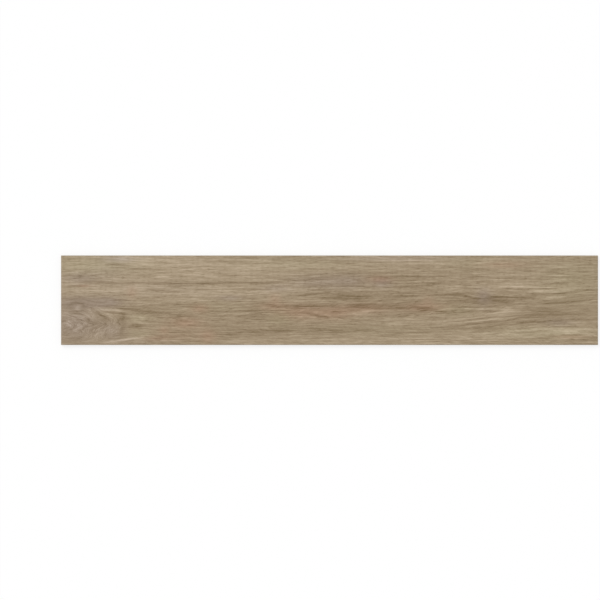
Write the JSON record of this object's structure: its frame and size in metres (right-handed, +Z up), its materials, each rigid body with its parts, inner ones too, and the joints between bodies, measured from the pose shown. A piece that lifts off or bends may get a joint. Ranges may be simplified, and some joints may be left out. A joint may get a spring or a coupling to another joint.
{
  "type": "wood look porcelain plank tile",
  "caption": "Long thin porcelain plank with a matte printed oak-grain face, bevelled ground edges and a ribbed keying back, bedded in mortar to tile a floor or wall.",
  "frame": {"origin": "middle of the back, on the plane of its ribs", "axes": "+X along the plank's length, +Y across its width, +Z up out of the printed face"},
  "size_m": [1.2, 0.2, 0.0095],
  "materials": {
    "printed_porcelain": "matte"
  },
  "bodies": {
    "root": {"plank_tile": "printed_porcelain"}
  },
  "joints": []
}
